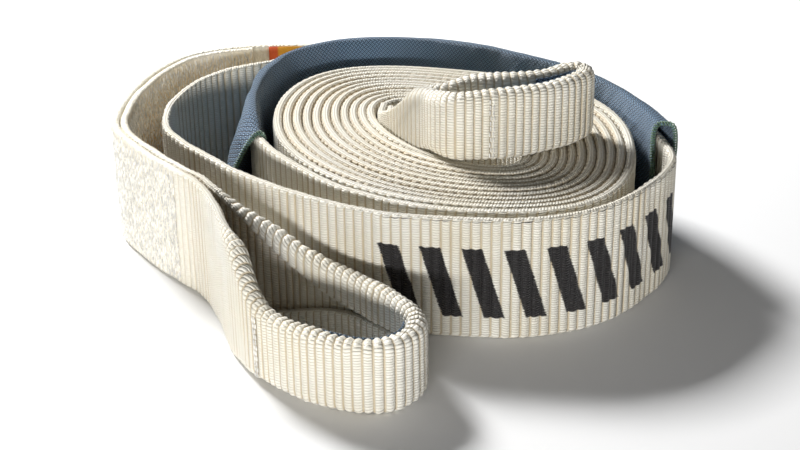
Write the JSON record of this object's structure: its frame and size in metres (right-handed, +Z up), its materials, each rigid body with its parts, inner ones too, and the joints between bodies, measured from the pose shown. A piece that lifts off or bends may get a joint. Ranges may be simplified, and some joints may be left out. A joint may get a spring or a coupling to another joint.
{
  "type": "recovery strap",
  "caption": "Wound flat webbing recovery strap standing on edge, with a folded, sewn eye at each end and a loose protective sleeve round its outer turns.",
  "frame": {"origin": "middle of the footprint's bounding box, on the floor", "axes": "+Z up along the width of the webbing, which stands on edge; the sewn outer eye lies at the front left, -Y is the side that the picture looks from"},
  "size_m": [0.349, 0.3598, 0.1215],
  "materials": {
    "webbing": "undyed nylon webbing, ribbed across its width, slightly glossy yarn",
    "sleeve_cloth": "blue-grey textured nylon in a coarse basket weave",
    "liner_cloth": "blue-grey textured nylon, frayed at the edge",
    "label_cloth": "plain woven label, orange to yellow, no print"
  },
  "bodies": {
    "root": {"coil": "webbing", "sleeve_turn": "webbing", "front_turn": "webbing", "outer_eye": "webbing", "inner_eye": "webbing", "sleeve": "sleeve_cloth", "outer_eye_liner": "liner_cloth", "inner_eye_liner": "liner_cloth", "label": "label_cloth"}
  },
  "joints": []
}
